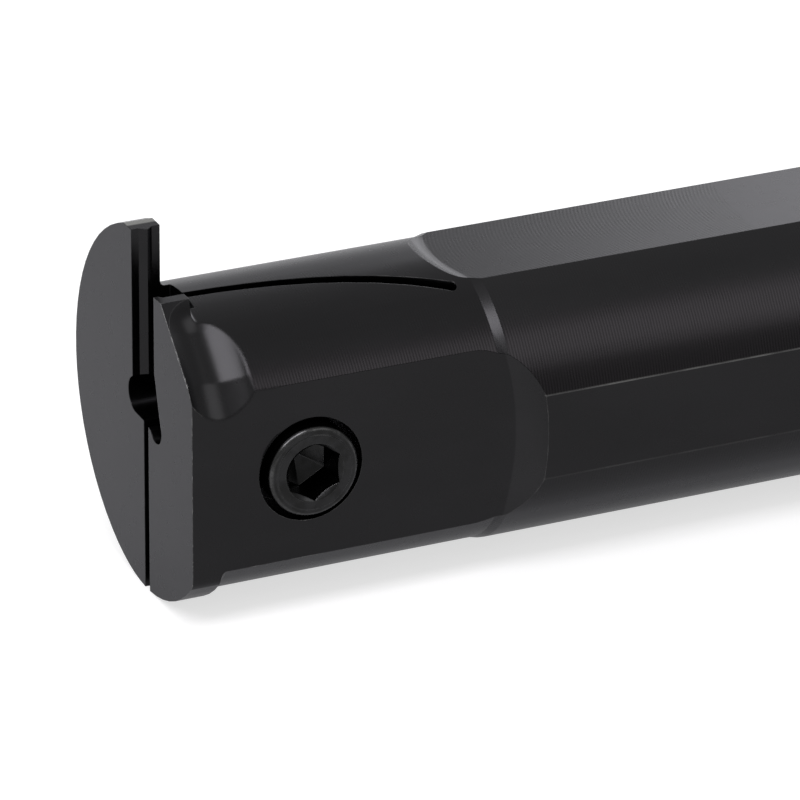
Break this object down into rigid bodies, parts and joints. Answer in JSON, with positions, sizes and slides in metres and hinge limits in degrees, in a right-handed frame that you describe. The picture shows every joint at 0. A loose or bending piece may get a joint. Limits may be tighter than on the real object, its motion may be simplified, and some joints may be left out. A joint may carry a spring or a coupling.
{
  "type": "grooving tool holder",
  "caption": "Round steel boring bar with flats whose front plate and elastic slit jaw clamp a grooving insert with a socket head screw.",
  "frame": {"origin": "centre of the flat rear end face of the round shank, on the shank's axis", "axes": "+X along the shank's axis, pointing out of the rear end face, so the cutting head lies at the most negative X; -Y is the side of the clamp screw; +Z is the side where the insert seat opens"},
  "size_m": [0.25, 0.0337, 0.0386],
  "materials": {
    "holder_steel": "black oxide, milled and turned",
    "screw_steel": "black oxide, semi gloss"
  },
  "bodies": {
    "holder": {"holder_body": "holder_steel"},
    "screw": {"clamp_screw": "screw_steel"}
  },
  "joints": [
    {"name": "clamp_screw_turn", "type": "hinge", "parent": "holder", "child": "screw", "pos_m": [-0.2371, 0, 0], "axis": [0, -1, 0], "range_deg": [0, 360]}
  ]
}
